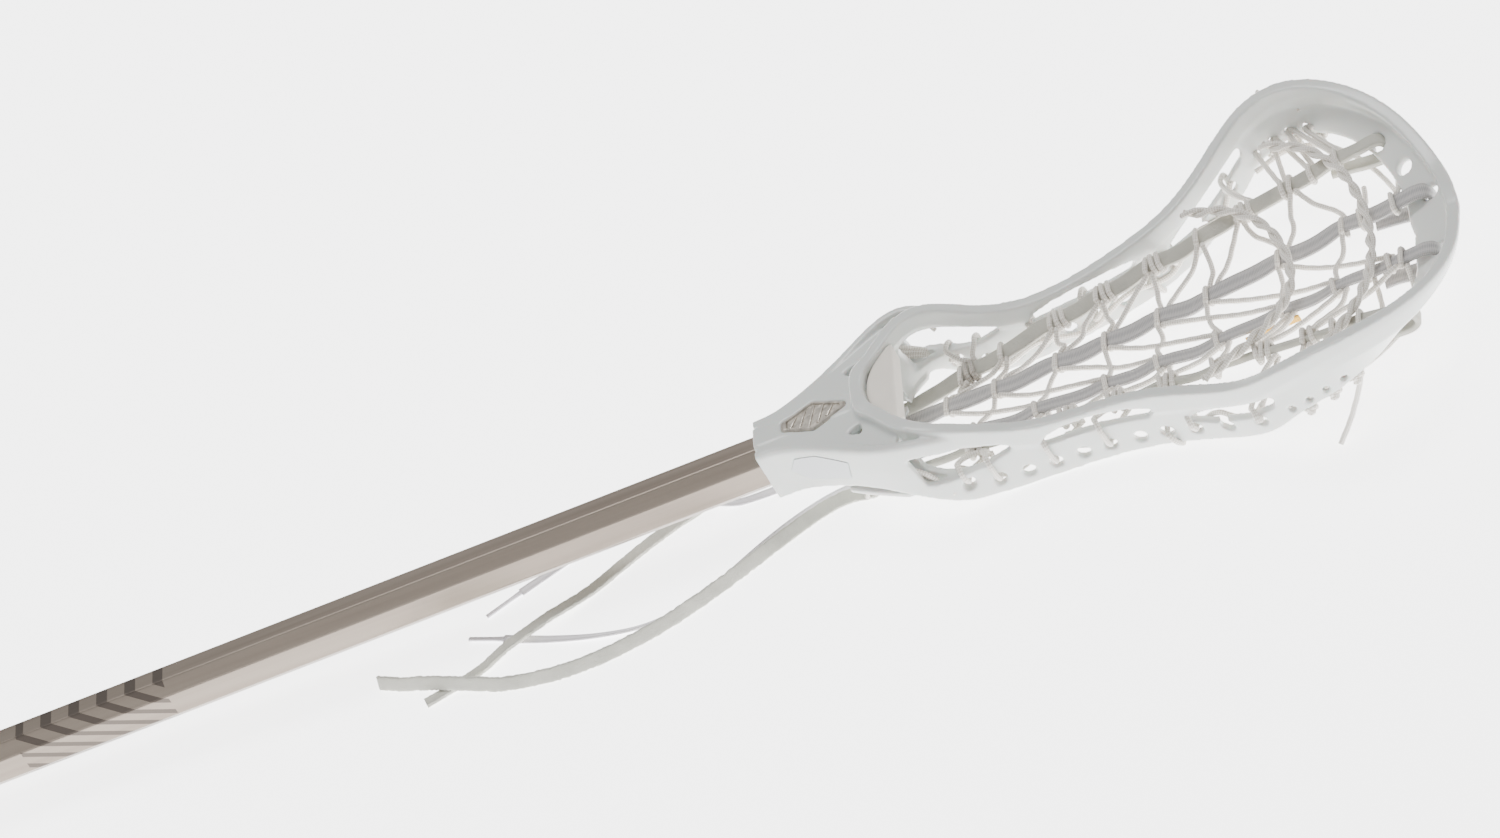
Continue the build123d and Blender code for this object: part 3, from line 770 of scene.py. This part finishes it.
def centre_lacing():
    """Two cords that cross each other between the inner runners."""
    body = Body()
    for start in (0, 1):
        stops = []
        for index, (left, right) in enumerate(zip(INNER_LOOPS_LEFT, INNER_LOOPS_RIGHT)):
            if (index + start) % 2 == 0:
                stops.append(inner_stop(left, 1, -1))
            else:
                stops.append(inner_stop(right, -1, 1))
        body.cord(looped_lace(stops, 11 + start))
    body.piece("centre_lacing", "nylon_cord", ["cross_lace_centre"])


def inner_lacing(side, word, inner_loops):
    """Cord between an inner runner and the leather beside it."""
    stops = []
    for outer, inner in zip(OUTER_LOOPS, inner_loops):
        stops.append(outer_stop(outer, side, -side))
        stops.append(inner_stop(inner + 3.2, side, side, hook))
    body = Body()
    body.cord(looped_lace(stops, 20 + side))
    body.piece("inner_lacing_" + word, "nylon_cord", ["cross_lace_inner_" + word])


def rail_at(x, side):
    """Outer face, inner face and hole height of the lower rail at x."""
    outer, bottom = between(RAIL, x)
    return side * outer, side * (outer - RAIL_THICKNESS), bottom + HOLE_RISE


def wall_tie(body, hole, loop_x, side):
    """Doubled cord from the leather over the lower rail, down its outside and back in through a hole."""
    outer, inner, height = rail_at(hole, side)
    top = between(SILL, hole)[0] + 1.3
    lean = side * 0.7
    start = on_runner(OUTER_RUNNER, loop_x, side) + Vector((0, side * 3.2, 1.6))
    back = on_runner(OUTER_RUNNER, loop_x + 4, side) + Vector((0, side * 3.0, -1.8))
    centre = on_runner(OUTER_RUNNER, loop_x, side) + Vector((0, 0, 0.5))
    points = wrap(centre, OUTER_WIDTH, OUTER_THICKNESS, side, turns=2.0, pitch=3.0)
    points += [
        start.lerp(Vector((hole - 2, inner - side * 2.0, top)), 0.5),
        Vector((hole - 2, inner - side * 1.0, top)),
        Vector((hole - 1.4, (outer + inner) / 2 + lean, top + 1.0)),
        Vector((hole - 0.8, outer + side * 1.2 + lean, top - 0.6)),
        Vector((hole - 0.6, outer + side * 1.8 + lean, top - 3.4)),
        Vector((hole - 0.4, outer + side * 1.8, height + 3.8)),
        Vector((hole, outer + side * 0.5, height + 0.6)),
        Vector((hole, (outer + inner) / 2, height)),
        Vector((hole + 0.4, inner - side * 2.0, height)),
        back,
    ]
    body.cord(through(points, CORD_STEP))


def knot(body, centre, size, axis=(0, 0, 1)):
    """Small overhand knot."""
    axis = Vector(axis).normalized()
    side = axis.orthogonal().normalized()
    other = axis.cross(side)
    points = []
    for step in range(KNOT_STEPS + 1):
        angle = 2 * math.pi * step / KNOT_STEPS * 1.96
        reach = size * (0.62 + 0.38 * math.cos(1.5 * angle))
        lift = size * 0.55 * math.sin(1.5 * angle)
        across = side * (reach * math.cos(angle))
        points.append(centre + across + other * (reach * math.sin(angle)) + axis * lift)
    body.cord(through(points, KNOT_STEP))


def wall_lacing(side, word):
    """Ties from the leather to the lower rail's holes, and the string along the inside of the rail."""
    ties = Body()
    for hole in TIE_HOLES:
        loop_x = min(OUTER_LOOPS, key=lambda loop: abs(loop - hole)) + 4.5
        wall_tie(ties, hole, loop_x, side)
    ties.piece("wall_ties_" + word, "nylon_cord", ["cross_lace_outer_" + word])
    string = Body()
    points = []
    for index, x in enumerate([86, 104, 126, 148, 170, 190, 206, 219, 229]):
        outer, inner, height = rail_at(x, side)
        points.append(Vector((x, inner - side * 2.2, height + 3.2 * (-1) ** index)))
    string.cord(through(points, LONG_STEP))
    hoop_x = 180.3
    outer, inner, height = rail_at(hoop_x, side)
    hoop = [
        Vector((hoop_x, inner - side * 1.8, height)),
        Vector((hoop_x, outer - side * 2, height)),
        Vector((hoop_x, outer + side * 1.6, height - 0.4)),
        Vector((182.0, outer + side * 2.0, height - 4.6)),
        Vector((184.0, outer - side * 1.0, height - HOLE_RISE - 1.4)),
        Vector((184.0, inner - side * 1.6, height - 5.5)),
        Vector((182.0, inner - side * 2.2, height + 2)),
    ]
    string.cord(through(hoop, CORD_STEP))
    string.piece("rail_string_" + word, "nylon_cord", ["sidewall_string_" + word])


def throat_lacing(side, word):
    """Three strands from the arm to a knot on the lower rail, and on the right a ring by the tails."""
    body = Body()
    end = Vector((80.5, side * 45.6, -16.5))
    for strand in range(3):
        shift = strand - 1
        points = [
            Vector((62.0 + 1.5 * shift, side * 33.5, 2.0)),
            Vector((66.0, side * (40.0 + shift), -1.5 + 2.0 * shift)),
            Vector((74.0, side * (43.6 + 0.6 * shift), -8.0 + 1.8 * shift)),
            end + Vector((-1.5, side * 0.6, 2.2 + 1.1 * shift)),
            end + Vector((1.5 + 0.8 * shift, side * 0.8, 0.4)),
        ]
        body.cord(through(points, CORD_STEP), ARM_CORD)
    knot(body, end, RAIL_KNOT, (0, side, 0.2))
    if side < 0:
        ring = [(40, -17, -16), (38, -16.5, -23), (36, -14.5, -28.6), (34, -10, -29.8), (35, -8, -25),
                (39, -11, -17)]
        body.cord(through(ring, CORD_STEP), THIN_CORD)
    body.piece("throat_lacing_" + word, "nylon_cord", ["throat_lace_" + word])


def twisted_pair(path, spread, turn):
    """Two lines wound round a path."""
    strands = ([], [])
    normal = Vector((0, 0, 1))
    for point, tangent, distance in zip(path, tangents_of(path), distances_of(path)):
        normal = (normal - tangent * normal.dot(tangent)).normalized()
        side = tangent.cross(normal)
        for index, strand in enumerate(strands):
            angle = distance * turn + math.pi * index
            strand.append(point + (side * math.cos(angle) + normal * math.sin(angle)) * spread)
    return strands


def shooting_string(name, half, lift):
    """Doubled cord across the pocket, twisted as it goes over the runners."""
    points = [Vector(point) + Vector((0, 0, lift)) for point in half]
    points += [Vector((point.x, -point.y, point.z)) for point in reversed(points)]
    path = through(points, LONG_STEP)
    body = Body()
    for strand in twisted_pair(path, spread=NYLON * 0.5, turn=0.28):
        body.cord(strand)
    body.piece(name + "_cord", "nylon_cord", [name])


def scoop_lacing():
    """Cord under the scoop's edge, with the ties to the runners beside it and its knots."""
    half = [(240, 82.0, -12.0), (256, 84.5, -9.0), (272, 80.0, -9.5), (286, 68.0, -13.0),
            (297, 50.0, -18.0), (304, 29.0, -22.5), (306.5, 9.0, -24.5)]
    points = [Vector(point) for point in half]
    points += [Vector((point.x, -point.y, point.z)) for point in reversed(points)]
    body = Body()
    body.cord(through(points, LONG_STEP))
    for side in (1, -1):
        stops = [Vector((x, side * y, z)) for x, y, z in SCOOP_HOLES]
        web = [stops[0] + Vector((0, side * 3, 0)), stops[0]]
        for stop, x in zip(stops[1:], (254, 268, 281)):
            centre = on_runner(OUTER_RUNNER, x, side) + Vector((0, 0, 0.6))
            web += wrap(centre, OUTER_WIDTH, OUTER_THICKNESS, side)
            web += [stop, stop + Vector((1.5, side * 2.5, 0)), stop + Vector((2.5, 0, 0.8))]
        body.cord(through(web, CORD_STEP))
        for x in (286, 302):
            tie = wrap(on_runner(INNER_RUNNER, x, side), INNER_WIDTH, INNER_THICKNESS, side)
            edge = Vector((x + 2, side * 44, -13.0))
            slack = tie[-1].lerp(edge, 0.5) + Vector((0, 0, -2))
            body.cord(through([*tie, slack, edge], CORD_STEP))
        knot(body, Vector((262.0, side * 88.5, -8.5)), SCOOP_KNOT, (0.2, side, 0))
        knot(body, Vector((273.0, side * 84.0, -8.5)), SCOOP_KNOT, (0.4, side, 0))
        knot(body, Vector((250.0, side * 90.0, -11.0)), SMALL_SCOOP_KNOT, (0.1, side, 0))
    body.piece("scoop_lacing", "nylon_cord", ["scoop_lace"])


def tag():
    """Small woven tag beside the right inner runner."""
    start = on_runner(INNER_RUNNER, 224, -1) + Vector((0, -6.6, -1.0))
    end = on_runner(INNER_RUNNER, 250, -1) + Vector((0, -6.8, -1.0))
    path = through([start, start.lerp(end, 0.4) + Vector((0, -0.6, 0.5)), end], CORD_STEP)
    section = strap_section(1.1, 3.4, 0.3)
    body = Body()
    body.sweep(path, lambda index, distance: section)
    body.piece("pocket_label", "tag_fabric", ["pocket_tag"])


# --- head, pad and badge -------------------------------------------------------------------------
def evaluated_copy(item, name):
    """Object with the item's modifiers applied, which takes its place."""
    graph = bpy.context.evaluated_depsgraph_get()
    mesh = bpy.data.meshes.new_from_object(item.evaluated_get(graph))
    mesh.name = name
    bpy.data.objects.remove(item)
    copy = bpy.data.objects.new(name, mesh)
    bpy.context.scene.collection.objects.link(copy)
    return copy


def moulded(node, name, voxel, passes, slot):
    """Mesh of a CAD node with the soft, rounded edges of a moulding."""
    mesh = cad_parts[node].data.copy()
    cleaner = bmesh.new()
    cleaner.from_mesh(mesh)
    bmesh.ops.remove_doubles(cleaner, verts=cleaner.verts, dist=1e-6)
    cleaner.to_mesh(mesh)
    cleaner.free()
    item = bpy.data.objects.new(name, mesh)
    bpy.context.scene.collection.objects.link(item)
    remesh = item.modifiers.new("remesh", "REMESH")
    remesh.mode = "VOXEL"
    remesh.voxel_size = voxel
    smooth = item.modifiers.new("smooth", "SMOOTH")
    smooth.factor = 0.5
    smooth.iterations = passes
    item = evaluated_copy(item, name)
    item.data.materials.clear()
    item.data.materials.append(MATERIALS[slot])
    item.data.polygons.foreach_set("use_smooth", [True] * len(item.data.polygons))
    finish_piece(item, [node])
    return item


def pad():
    item = moulded("ball_stop_pad", "ball_stop_foam", VOXEL_M, 10, "foam")


def badge():
    """Kite-shaped metallic badge with a raised border and plain slanting ribs."""
    half = [(13.9, 2.8), (29.5, 9.75), (45.3, 1.5)]
    outline = half + [(x, -y) for x, y in reversed(half)]
    centre = Vector((29.3, 0, 0))
    rings = [(1.0, 12.0), (1.0, 13.6), (0.93, 14.3), (0.84, 14.3), (0.80, 13.5)]
    body = Body()
    for scale, height in rings:
        for x, y in outline:
            body.vertices.append(centre + (Vector((x, y, 0)) - centre) * scale + Vector((0, 0, height)))
    size = len(outline)
    for ring in range(len(rings) - 1):
        for corner in range(size):
            after = (corner + 1) % size
            low = ring * size
            body.faces.append((low + after, low + corner, low + size + corner, low + size + after))
            body.uvs.append(((0, 0), (1, 0), (1, 1), (0, 1)))
    last = (len(rings) - 1) * size
    body.cap([*range(size)])
    body.cap([*range(last, last + size)][::-1])
    for x, reach in ((19.5, 3.0), (24.0, 5.0), (28.5, 6.6), (33.0, 5.4), (37.5, 3.4)):
        rib = [Vector((x - 1.6, -reach, 13.5)), Vector((x, 0, 13.7)), Vector((x + 1.6, reach, 13.5))]
        body.sweep(through(rib, CORD_STEP), lambda index, distance: strap_section(1.3, 0.9, 0.5))
    item = body.piece("badge_relief", "badge_metal", ["badge_insert"])
    item.data.polygons.foreach_set("use_smooth", [False] * len(item.data.polygons))


def cut_ends():
    """Short ends of nylon cord that stand out of the rim where they are knotted off."""
    body = Body()
    starts = [(252, 95.5, 6.0), (258, 96.0, 7.5), (269, 92.0, 8.0), (84, 45.5, 2.0)]
    leans = [(-6, 8.5, 4), (-5, 9.0, 5), (-1, 8.0, 6), (-4.5, 4.5, 5.5)]
    for start, lean in zip(map(Vector, starts), map(Vector, leans)):
        middle = start + lean * 0.5 + Vector((0, 0, 0.8))
        body.cord(through([start - lean * 0.4, middle, start + lean], KNOT_STEP), THIN_CORD)
    body.piece("cut_cord_ends", "nylon_cord", [])


def paint_nodes():
    """CAD nodes that stay visible get a procedural material."""
    materials = {
        "shaft": "shaft_metal",
        "end_cap": "cap_rubber",
        "head_screw": "screw_steel",
        "throat_inlay_left": "inlay_plastic",
        "throat_inlay_right": "inlay_plastic",
    }
    for node, name in materials.items():
        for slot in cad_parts[node].material_slots:
            slot.material = MATERIALS[name]


camera()
studio()
loose_ends()
moulded("head_frame", "head_shell", VOXEL_M, 6, "head_plastic")
pad()
paint_nodes()
badge()
cut_ends()
runners()
centre_lacing()
for side, word, loops in ((1, "left", INNER_LOOPS_LEFT), (-1, "right", INNER_LOOPS_RIGHT)):
    inner_lacing(side, word, loops)
    wall_lacing(side, word)
    throat_lacing(side, word)
shooting_string("shooting_string_upper", UPPER_STRING, -3.2)
shooting_string("shooting_string_lower", LOWER_STRING, -2.6)
scoop_lacing()
tag()
